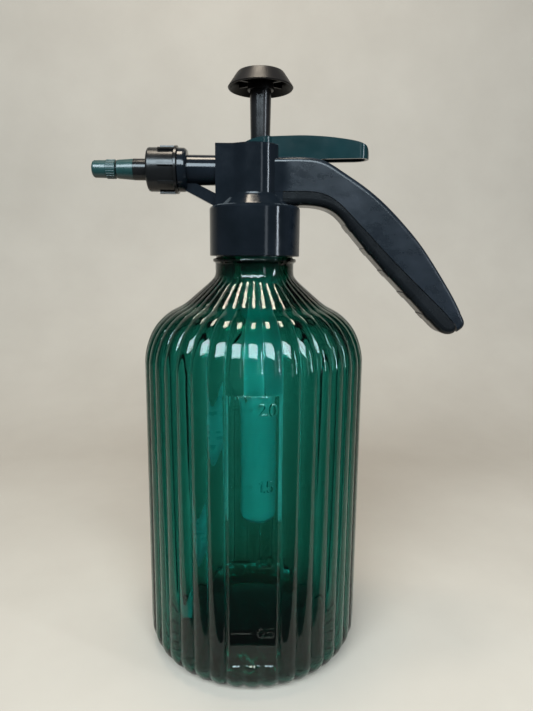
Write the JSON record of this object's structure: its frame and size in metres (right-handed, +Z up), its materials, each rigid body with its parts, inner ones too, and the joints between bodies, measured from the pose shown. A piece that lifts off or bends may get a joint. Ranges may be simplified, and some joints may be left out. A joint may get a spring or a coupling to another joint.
{
  "type": "hand mister",
  "caption": "Hand-pumped pressure mister: reeded clear bottle, screw-on head with a top plunger, thumb lever, curved handle and adjustable nozzle.",
  "frame": {"origin": "centre of the bottle's base, on the surface it stands on", "axes": "+Z up the bottle's axis, +X towards the handle (the nozzle points along -X), -Y towards the level panel"},
  "size_m": [0.2072, 0.124, 0.327],
  "materials": {
    "bottle_clear": "clear dark green moulded PET, glossy",
    "black_body": "glossy black moulded plastic",
    "black_grip": "satin black moulded plastic",
    "black_rod": "glossy black moulded plastic",
    "green_lever": "glossy dark green moulded plastic",
    "green_nozzle": "semi-gloss dark green moulded plastic",
    "pale_pump": "natural white moulded plastic",
    "clear_tube": "translucent extruded tube",
    "seal_rubber": "black rubber",
    "steel": "bright stainless steel",
    "brass_insert": "turned brass"
  },
  "bodies": {
    "bottle": {"bottle": "bottle_clear"},
    "gasket": {"neck_gasket": "seal_rubber"},
    "head": {"head_body": "black_body", "handle_cover": "black_grip", "lever_pivot_pin": "steel", "valve_gland": "black_body", "gland_o_ring": "seal_rubber", "valve_spring": "steel", "nozzle_washer": "seal_rubber", "nozzle_nut": "black_body", "nozzle_tube": "black_body", "nozzle_sleeve": "green_nozzle", "nozzle_core": "brass_insert", "dip_tube": "clear_tube", "pump_cylinder": "pale_pump", "cylinder_o_ring": "seal_rubber", "rod_guide": "pale_pump", "foot_valve": "seal_rubber"},
    "plunger": {"plunger_rod": "black_rod", "pump_knob": "black_rod", "piston": "pale_pump", "piston_o_ring": "seal_rubber"},
    "lever": {"trigger_lever": "green_lever"},
    "valve": {"valve_stem": "steel", "valve_seal": "seal_rubber"},
    "tip_ring": {"nozzle_o_ring": "seal_rubber"},
    "tip": {"nozzle_tip": "green_nozzle"}
  },
  "joints": [
    {"name": "head_lift_off", "type": "slide", "parent": "bottle", "child": "gasket", "axis": [0, 0, 1], "range_m": [0, 0.25], "deforming": ["dip_tube"]},
    {"name": "head_unscrew", "type": "hinge", "parent": "gasket", "child": "head", "pos_m": [0, 0, 0.24], "axis": [0, 0, 1], "range_deg": [0, 540]},
    {"name": "pump_stroke", "type": "slide", "parent": "head", "child": "plunger", "axis": [0, 0, 1], "range_m": [0, 0.14]},
    {"name": "lever_press", "type": "hinge", "parent": "head", "child": "lever", "pos_m": [0.019, 0, 0.2775], "axis": [0, 1, 0], "range_deg": [0, 8], "stiffness_Nm_per_rad": 0.6, "springref_deg": -1.72},
    {"name": "valve_lift", "type": "slide", "parent": "head", "child": "valve", "axis": [0, 0, 1], "range_m": [0, 0.005], "deforming": ["valve_spring"]},
    {"name": "tip_turn", "type": "hinge", "parent": "tip_ring", "child": "tip", "pos_m": [-0.082, 0, 0.2762], "axis": [-1, 0, 0], "range_deg": [-120, 360]},
    {"name": "tip_advance", "type": "slide", "parent": "head", "child": "tip_ring", "axis": [-1, 0, 0], "range_m": [-0.0005, 0.0015]}
  ],
  "couplings": [
    {"joint": "lever_press", "follows": "valve_lift", "rad_per_m": 27.925},
    {"joint": "tip_turn", "follows": "tip_advance", "rad_per_m": 4188.8}
  ]
}
